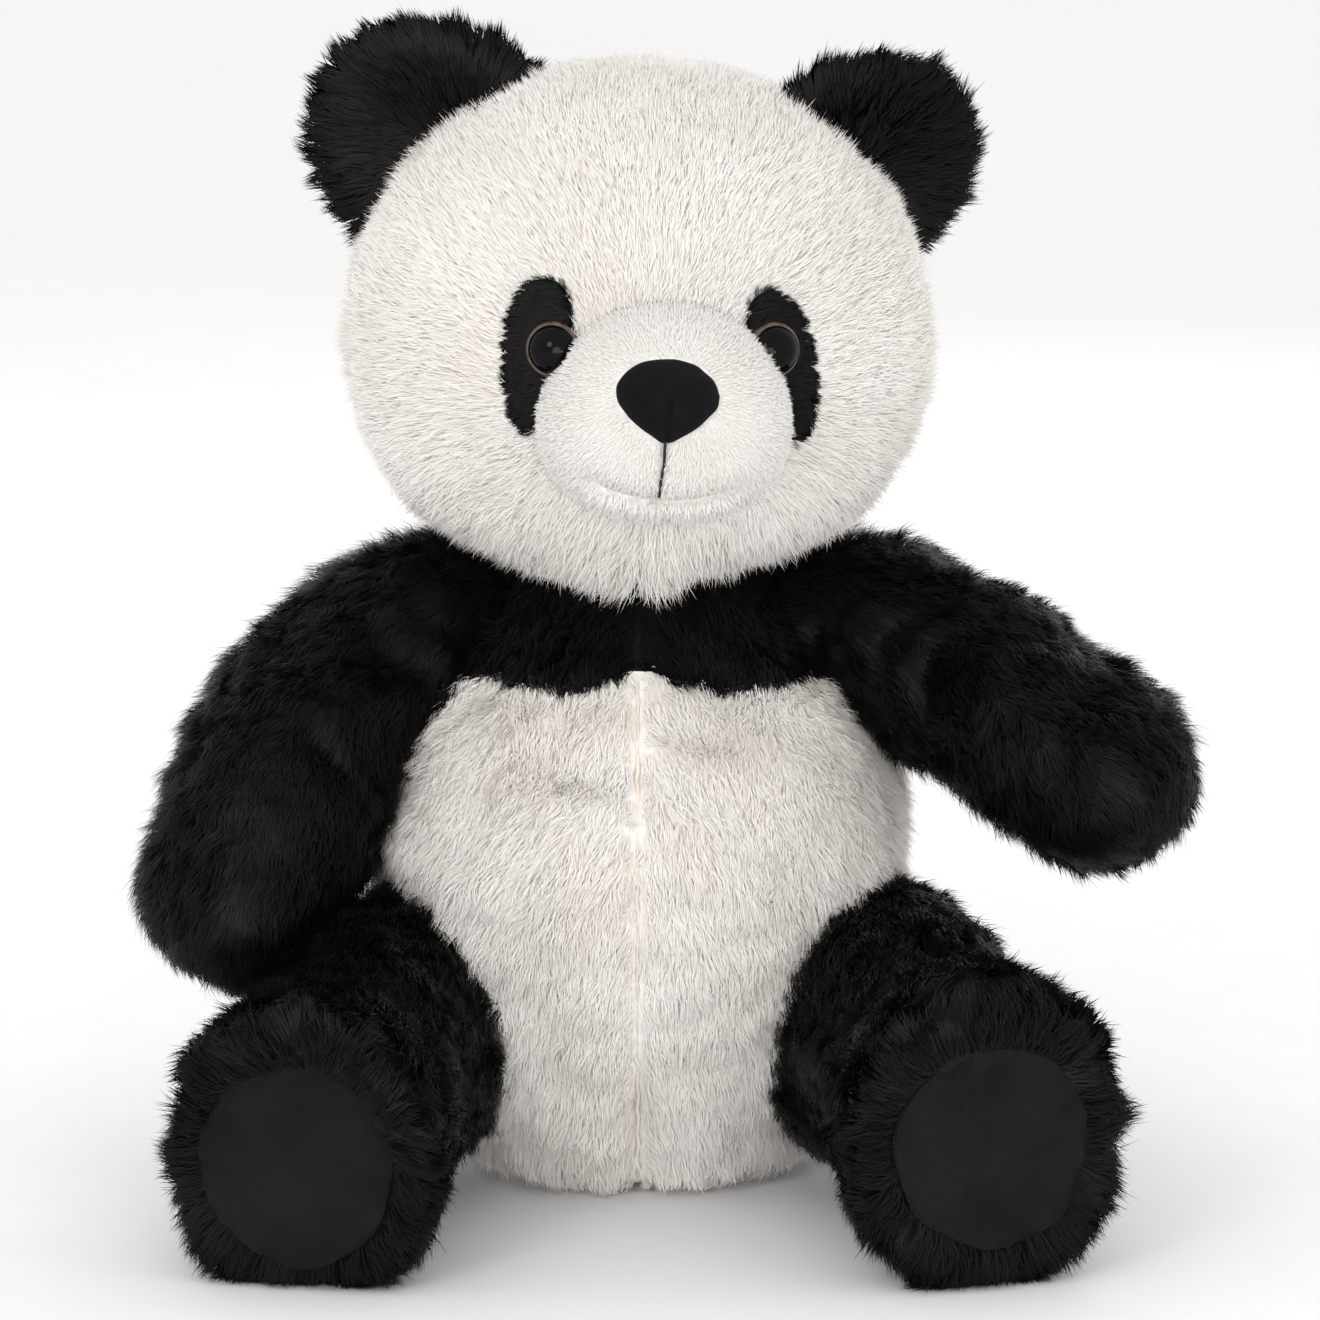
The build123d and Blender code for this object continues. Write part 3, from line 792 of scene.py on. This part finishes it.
def head_style(places, normals, along):
    local = to_face(places)
    away = unit(local - MUZZLE - (0, 14, 0))
    below = smoothstep(-12, -50, local[:, 2])
    behind = smoothstep(-20, 25, local[:, 1])
    flow = away * (1 - behind)[:, None] + np.array([0, 0.1, -1.0]) * (behind + 0.6 * below)[:, None]
    part = bump(local[:, 0], 6) * (local[:, 1] < -10) * (local[:, 2] < -38)
    flow[:, 0] += 0.5 * np.sign(local[:, 0]) * part
    comb = flow @ FACE_AXES
    comb += 0.16 * np.stack([waves(places, 30, 33), waves(places, 30, 34), waves(places, 30, 35)], axis=1)
    cheek = smoothstep(10, -25, local[:, 2]) * smoothstep(0, -30, local[:, 1])
    chin = below * smoothstep(10, -30, local[:, 1])
    length = 5.4 + 1.2 * cheek + chin * (0.4 + 4.2 * bump(local[:, 0], 11)) + 0.6 * waves(places, 13, 36)
    lift = 0.86 + 0.14 * waves(places, 20, 37) - 0.25 * chin - 0.1 * part
    keep = ~((muzzle_share(local[:, 0], local[:, 2] - MUZZLE[2]) < 0.93) & (local[:, 1] < 0))
    for side in SIDES:
        share = patch_share(local, side)
        inner = local[:, 0] * SIDES[side] < 27
        keep &= share > np.where(inner, 1.12, 1.0)
        length = length * (1 - np.where(inner, 0.5, 0.25) * smoothstep(1.5, 1.0, share))
    return comb, length, lift, keep


def muzzle_style(places, normals, along):
    local = to_face(places)
    away = local - np.array([0, -96, 2.0])
    comb = away @ FACE_AXES
    nose = nose_share(local[:, 0], local[:, 2]) < 0.97
    keep = ~(nose & (local[:, 1] < -60)) & (local[:, 1] < -44)
    on_seam = (np.abs(local[:, 0] - NOSE_AT[0]) < 0.4) & (local[:, 2] < -9) & (local[:, 2] > SMILE_AT)
    keep &= ~(on_seam & (local[:, 1] < -60))
    crease = np.abs(local[:, 2] - mouth_height(local[:, 0]))
    keep &= ~((crease < 0.7) & (np.abs(local[:, 0]) < 17) & (local[:, 1] < -60))
    length = 2.2 + 1.6 * smoothstep(-24, -36, local[:, 2]) + 0.2 * waves(places, 8, 41)
    return comb, length, 0.62, keep


NOSE_SIDE = ((12.2, 0.0), (11.4, 2.6), (9.2, 4.9), (5.4, 7.1), (0.0, 7.9))
NOSE_POINT = ((-11.4, -3.2), (-8.8, -6.2), (-4.6, -9.4), (0.0, -11.7), (4.6, -9.4), (8.8, -6.2), (11.4, -3.2))
NOSE_OUTLINE = (*NOSE_SIDE, *((-x, z) for x, z in NOSE_SIDE[-2::-1]), *NOSE_POINT, NOSE_SIDE[0])


def nose_outline(count):
    return smooth_line(NOSE_OUTLINE, count + 1)[:-1]


def nose_share(x, z):
    """0 at the nose's middle and 1 on its outline."""
    line = nose_outline(180)
    order = np.argsort(np.arctan2(line[:, 1], line[:, 0]))
    angles, sizes = np.arctan2(line[order, 1], line[order, 0]), np.hypot(line[order, 0], line[order, 1])
    x, z = x - NOSE_AT[0], z - NOSE_AT[1]
    return np.hypot(x, z) / np.interp(np.arctan2(z, x), angles, sizes, period=2 * pi)


def build_nose():
    line = nose_outline(84)
    share = np.sin(np.linspace(0.02, pi / 2, 30))[:, None]
    x, z = share * line[:, 0] + NOSE_AT[0], share * line[:, 1] + NOSE_AT[1]
    proud = 0.8 + 3.4 * (1 - share**2.6) ** 0.6
    seam = bump(x - NOSE_AT[0], 0.8) * smoothstep(NOSE_AT[1] + 1, NOSE_AT[1] - 3, z)
    y = muzzle_front(x, z) - proud + 1.3 * seam
    rim = np.stack([x[-1:], y[-1:] + 2.6, z[-1:]], axis=-1)
    skin = Skin(from_face(np.concatenate([np.stack([x, y, z], axis=-1), rim])))
    skin.press(0.15 * waves(skin.points, 6, 45))
    piece = mesh_object("nose", skin.points, skin.quads, skin.caps, VELOUR, shade=skin.normals)
    fit(piece, "head", ["nose_patch"])


def build_mouth():
    """The dark seam from the nose to the lip, and a tan strip of painted shade laid in the smile's crease."""
    z = np.linspace(-15.5, -30.5, 26)
    x = NOSE_AT[0] + 0.12 * np.sin(z * 0.8)
    seam = tube(
        "mouth_seam", from_face(np.stack([x, muzzle_front(x, z) - 0.2, z], axis=1)), MOUTH_THREAD, THREAD)
    fit(seam, "head", ["mouth_stitching"])
    # The smile strip is painted shade: a tan tube in the crease in place of its shadow.
    x = np.linspace(-15, 15, 40)
    z = mouth_height(x)
    smile = tube(
        "smile_crease_painted_shade", from_face(np.stack([x, muzzle_front(x, z) + 2.2, z], axis=1)), LIP_SHADE_STRIP, PAINTED_CREASE_SHADE)
    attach(smile, "head")


EYE_INWARD = 0.94        # the eyes sit this share as far to the side as in the CAD
EYE_SIDES = 48
EYE_EDGE = 6.6           # the patch's pile stops this far from the eye's middle


def build_eye(side):
    """A safety eye: a brown iris ring under a glossy black dome."""
    way = unit(to_face(middle(f"eye_{side}")) * (EYE_INWARD, 1, 1))
    base, normal = head_surface(way, 1.0)
    out = normal @ FACE_AXES
    across = unit(np.cross(UP, out))
    above = np.cross(out, across)
    # Radius and height of each ring: first the brown iris wall and lip, then the pupil's dome.
    profile = [(6.4, -3.0), (6.8, -0.5), (6.8, 1.2), (6.65, 1.7), (6.3, 2.1), (5.95, 2.2)]
    turn = np.linspace(0.16, pi / 2 * 0.99, 18)
    dome = [(6.05 * cos(t), 1.5 + 4.6 * sin(t)) for t in turn]
    angle = np.linspace(0, 2 * pi, EYE_SIDES, endpoint=False)[:, None]
    circle = np.cos(angle) * across + np.sin(angle) * above
    rings = [from_face(base) + out * high + circle * wide for wide, high in profile + dome]
    skin = Skin(rings)
    finish = [PUPIL, IRIS]
    piece = mesh_object(f"eye_dome_{side}", skin.points, skin.quads, skin.caps, finish, shade=skin.normals)
    brown = np.zeros(len(piece.data.polygons), np.int32)
    brown[: EYE_SIDES * len(profile)] = 1
    piece.data.polygons.foreach_set("material_index", brown)
    fit(piece, "head", [f"eye_{side}", f"eye_washer_{side}"])


def build_patch(side):
    """The black bean of short pile round an eye."""
    angle = np.linspace(0, 2 * pi, PATCH_SIDES, endpoint=False)
    centre = direction(radians(PATCH_TURN[side]) * SIDES[side], radians(PATCH_LIFT))
    aside = unit(np.cross(UP, centre))
    above = np.cross(centre, aside)
    size = np.full(PATCH_SIDES, 0.2)
    for _ in range(30):
        ways = centre + (np.cos(angle) * size)[:, None] * aside + (np.sin(angle) * size)[:, None] * above
        size = size * np.clip(1 / patch_share(ways, side), 0.8, 1.25) ** 0.5
    share = np.linspace(0.03, 1.02, 22)[:, None, None]
    edge = (np.cos(angle) * size)[:, None] * aside + (np.sin(angle) * size)[:, None] * above
    grid = centre + share * edge
    top, _ = head_surface(grid, 1.4)
    under, _ = head_surface(grid[-1:], -1.5)
    skin = Skin(from_face(np.concatenate([top, under])))

    def style(places, normals, along):
        local = to_face(places)
        eye = head_surface(unit(to_face(middle(f"eye_{side}"))))[0]
        flow = unit(local - MUZZLE) + np.array([0.25 * SIDES[side], 0, -0.5])
        keep = np.linalg.norm(local - eye, axis=1) > EYE_EDGE
        keep &= muzzle_share(local[:, 0], local[:, 2] - MUZZLE[2]) > 1.02
        return flow @ FACE_AXES, 3.9 + 0.4 * waves(places, 7, 51), 0.66, keep

    pile = Pile(skin, 520, 140, style, width=0.36)
    piece = panel(f"patch_{side}", skin, pile, everywhere, SHORT_BLACK)
    fit(piece, "head", [f"eye_patch_{side}"])


def build_head():
    skin = head_skin()
    pile = Pile(skin, 470, 150, head_style, width=0.25, tufts=(0.02, 0.28), spread=0.34)

    covers = {
        "forehead": ["forehead_panel", "head_stuffing"],
        "face_left": ["face_panel_left"],
        "face_right": ["face_panel_right"],
        "nape_left": ["head_back_left"],
        "nape_right": ["head_back_right"],
    }
    for name, nodes in covers.items():
        def inside(points):
            local = to_face(points)
            front = local[:, 1] < 8
            crown = local[:, 2] > 14 + 0.5 * np.abs(local[:, 0])
            if name == "forehead":
                return front & crown
            on_side = (local[:, 0] >= 0) == name.endswith("left")
            return on_side & (front & ~crown if name.startswith("face") else ~front)

        fit(panel(name, skin, pile, inside, WHITE), "head", nodes)
    skin = muzzle_skin()
    pile = Pile(skin, 740, 160, muzzle_style, width=0.27, tufts=(0.05, 0.2), spread=0.35)
    piece = panel("muzzle", skin, pile, everywhere, SHORT_WHITE)
    fit(piece, "head", ["muzzle_panel"])
    build_nose()
    build_mouth()
    for side in SIDES:
        build_eye(side)
        build_patch(side)
        build_ear(side)


EAR_TURN = {"left": 24, "right": 8}
EAR_TALL = {"left": 32, "right": 33}
EAR_WIDE, EAR_DEEP = 27, 7.5
EAR_OUT = 65.5           # from the head's centre to the ear's middle


def build_ear(side):
    """A rounded ear: front and back panels of black plush, cupped a little to the front."""
    sign = SIDES[side]
    local = to_face(middle(f"ear_front_{side}", f"ear_back_{side}"))
    outward = unit(local * (1, 0, 1))
    turn = radians(EAR_TURN[side])
    facing = cos(turn) * np.array([0, -1.0, 0]) + sin(turn) * np.array([sign * 0.8, 0, -0.6])
    facing = unit(facing - outward * (facing @ outward))
    aside = np.cross(outward, facing)
    root = outward * EAR_OUT + np.array([0, 3, 0])
    latitude = np.linspace(-pi / 2 * 0.97, pi / 2 * 0.97, 34)
    angle = np.linspace(0, 2 * pi, 60, endpoint=False)
    up = np.sin(latitude)[:, None] + 0 * angle
    wide = np.cos(latitude)[:, None] * np.sin(angle)
    deep = np.cos(latitude)[:, None] * np.cos(angle)
    cup = 4.0 * smoothstep(0.8, 0, np.hypot(up - 0.25, wide)) * (deep > 0)
    points = root + outward * (up[..., None] * EAR_TALL[side]) + aside * (wide[..., None] * EAR_WIDE)
    points = points + facing * (deep * EAR_DEEP - cup)[..., None]
    skin = Skin(from_face(points))

    def style(places, normals, along):
        local = to_face(places)
        sway = unit(np.stack([waves(places, 12, 61 + k) for k in range(3)], axis=1))
        flow = unit(local - root * 0.93) + 0.2 * sway
        length = 8.6 + 1.6 * waves(places, 7, 64)
        return flow @ FACE_AXES, length, 0.75, ~inside_head(places, 2)

    pile = Pile(skin, 360, 170, style, width=0.36, tufts=(0.03, 0.55))
    for name, way in (("front", 1), ("back", -1)):
        def inside(points):
            return ((to_face(points) - root) @ facing) * way >= 0

        piece = panel(f"ear_{name}_panel_{side}", skin, pile, inside, BLACK)
        fit(piece, "head", [f"ear_{name}_{side}"])


# -------- arms
def build_arm(side):
    limb = ARMS[side]
    skin = limb.skin
    skin.press(0.6 + 0.9 * waves(skin.points, 34, 71) + 0.4 * waves(skin.points, 15, 72))
    stuff(skin, (np.abs(skin.normals[:, 1]) < 0.06) | (skin.along < 0.2), PLUSH_SWELL)

    def style(places, normals, along):
        ahead, _ = limb.ahead_at(along)
        comb = ahead + 0.35 * DOWN + 0.3 * np.stack([waves(places, 26, 73 + k) for k in range(3)], axis=1)
        end = smoothstep(0.8, 1.0, along)
        comb = comb * (1 - 0.5 * end)[:, None] + 0.5 * end[:, None] * DOWN
        length = 7.6 + 1.5 * waves(places, 10, 76)
        lift = 0.74 + 0.22 * waves(places, 14, 77)
        keep = ~inside_torso(places, 8) & ~inside_head(places, 3)
        return comb, length, lift, keep

    pile = Pile(skin, 380, 180, style, width=0.33, tufts=(0.02, 0.5), spread=0.28)
    shoulder = joint_place(f"arm_raise_{side}")
    way = limb.ahead[20]
    joint = ("torso", f"arm_{side}", shoulder - way * 14, shoulder + way * 20)
    for name, front in (("front", True), ("back", False)):
        def inside(points):
            return (points[:, 1] < line_y(limb, points)) == front

        nodes = [f"arm_{name}_{side}"] + ([f"arm_stuffing_{side}"] if front else [])
        fit(panel(f"sleeve_{name}_{side}", skin, pile, inside, BLACK), joint, nodes)


def line_y(limb, points):
    """The y of the limb's own line beside each point, matched by x."""
    order = np.argsort(limb.line[:, 0])
    return np.interp(points[:, 0], limb.line[order, 0], limb.line[order, 1])


# -------- legs and feet
FOOT_FROM = 0.66         # where the foot begins, as a share of the way from hip to sole
SOLE_RADIUS = 23.6
PILE_STOPS = 0.6         # the foot's pile stops this far inside the sole's edge


def build_leg(side):
    limb = LEGS[side]
    skin = limb.skin
    skin.press(0.6 + 0.8 * waves(skin.points, 36, 81) + 0.4 * waves(skin.points, 16, 82))
    sewn = (np.abs(skin.normals[:, 2]) < 0.05) | (skin.along < 0.2) | (skin.along > 0.96)
    stuff(skin, sewn, PLUSH_SWELL)
    hip = joint_place(f"leg_spread_{side}")
    pad = limb.line[-1]
    way = unit((pad - hip) * (1, 1, 0))

    def distance(points):
        return (points - hip) @ way

    sole_distance = float(distance(pad[None])[0])
    ankle = sole_distance * FOOT_FROM

    def style(places, normals, along):
        ahead, centre = limb.ahead_at(along)
        outward = unit(places - centre - ahead * ((places - centre) * ahead).sum(axis=1, keepdims=True))
        foot = smoothstep(-24, -4, distance(places) - sole_distance)
        comb = ahead * (0.6 - 0.1 * foot)[:, None] + outward * (0.9 * foot)[:, None]
        comb = comb + 0.6 * DOWN * (1 - foot)[:, None]
        comb += 0.25 * np.stack([waves(places, 22, 83 + k) for k in range(3)], axis=1)
        length = 7.4 + 1.2 * waves(places, 10, 86) + 1.6 * foot
        lift = 0.55 + 0.16 * waves(places, 14, 87) + 0.3 * foot
        off_axis = (places - pad) - way * ((places - pad) @ way)[:, None]
        on_pad = np.linalg.norm(off_axis, axis=1) < SOLE_RADIUS - PILE_STOPS
        on_pad &= distance(places) > sole_distance - 3
        keep = ~inside_torso(places, 5) & ~on_pad & (places[:, 2] > 1.2)
        return comb, length, lift, keep

    pile = Pile(skin, 380, 190, style, width=0.33, tufts=(0.02, 0.42), spread=0.26)
    joint = ("torso", f"leg_{side}", hip - way * 16, hip + way * 22)
    covers = {
        "thigh_upper": ["leg_upper", "leg_stuffing"],
        "thigh_lower": ["leg_lower"],
        "foot": ["foot_surround"],
    }
    for name, nodes in covers.items():
        def inside(points):
            thigh = distance(points) < ankle
            high = points[:, 2] >= hip[2]
            return {"thigh_upper": thigh & high, "thigh_lower": thigh & ~high, "foot": ~thigh}[name]

        piece = panel(f"{name}_{side}", skin, pile, inside, BLACK)
        fit(piece, joint, [f"{node}_{side}" for node in nodes])
    build_pad(side, pad, way)


def build_pad(side, centre, way):
    """The suede sole: a shallow dome with wrinkles, turned in at its sewn edge."""
    aside = unit(np.cross(way, UP))
    above = np.cross(aside, way)
    angle = np.linspace(0, 2 * pi, 96, endpoint=False)
    share = np.sin(np.linspace(0.03, pi / 2, 34))[:, None]
    size = SOLE_RADIUS + 0.5 * np.sin(3 * angle + 1) + 0.3 * np.sin(7 * angle)
    x, z = share * size * np.cos(angle), share * size * np.sin(angle) * 1.03
    dome = 1.2 + 2.4 * (1 - share**2.4)
    pleated = smoothstep(0.8, 0.97, share) * smoothstep(1.0, 0.97, share)
    high = dome + 0.35 * np.sin(22 * angle + 3 * np.sin(3 * angle)) * pleated
    grid = centre + x[..., None] * aside + z[..., None] * above + high[..., None] * way
    edge = centre + (x[-1:, :, None] * aside + z[-1:, :, None] * above) * 0.985 - 2.5 * way
    skin = Skin(np.concatenate([grid, edge]))
    skin.press(0.45 * waves(skin.points, 17, 91) + 0.12 * waves(skin.points, 6, 92))
    stuff(skin, skin.along > 0.93, SOLE_SWELL)
    piece = mesh_object(f"sole_{side}", skin.points, skin.quads, skin.caps, SUEDE, shade=skin.normals)
    fit(piece, f"leg_{side}", [f"foot_pad_{side}"])


# -------- floor, lights and camera
AIM = Vector((0.0055, -0.023, 0.1334))
CAMERA_ELEVATION = radians(10)
CAMERA_DISTANCE = 1.45


def build_studio():
    bpy.ops.mesh.primitive_plane_add(size=12, location=(0, 0, 0))
    floor = bpy.context.object
    floor.name = "studio_floor"
    paper = material("studio_paper", (0.93, 0.93, 0.93), (0.91, 0.91, 0.91), 2, 40, 0.9, **FAINT_GLOSS)
    floor.data.materials.append(paper)
    world = bpy.data.worlds.new("studio")
    world.use_nodes = True
    background = world.node_tree.nodes["Background"]
    background.inputs["Color"].default_value = (1.0, 1.0, 1.0, 1)
    background.inputs["Strength"].default_value = 1.0
    bpy.context.scene.world = world
    # Each lamp: its place and width in metres, and its power in watts.
    lamps = {
        "key": ((-0.6, -1.4, 0.8), 0.5, 4.5),
        "low": ((0.1, -1.6, 0.12), 0.9, 11),
        "rim": ((0.5, 1.3, 0.9), 1.0, 3),
        "glint": ((0.55, -1.3, 0.14), 0.06, 0.9),
    }
    for name, (place, size, power) in lamps.items():
        lamp = bpy.data.lights.new(name, "AREA")
        lamp.energy = power
        lamp.shape = "DISK"
        lamp.size = size
        lamp_object = bpy.data.objects.new(name, lamp)
        lamp_object.location = place
        lamp_object.rotation_euler = (AIM - Vector(place)).to_track_quat("-Z", "Y").to_euler()
        bpy.context.collection.objects.link(lamp_object)


def build_camera():
    camera = bpy.data.cameras.new("camera")
    camera.lens = 158
    camera.sensor_width = 36
    camera.clip_end = 20
    seat = bpy.data.objects.new("camera", camera)
    seat.location = AIM + Vector((0, -cos(CAMERA_ELEVATION), sin(CAMERA_ELEVATION))) * CAMERA_DISTANCE
    seat.rotation_euler = (AIM - seat.location).to_track_quat("-Z", "Y").to_euler()
    bpy.context.collection.objects.link(seat)
    bpy.context.scene.camera = seat
    bpy.context.scene.view_settings.view_transform = "Standard"


build_torso()
build_tail()
build_head()
for side in SIDES:
    build_arm(side)
    build_leg(side)
build_studio()
build_camera()
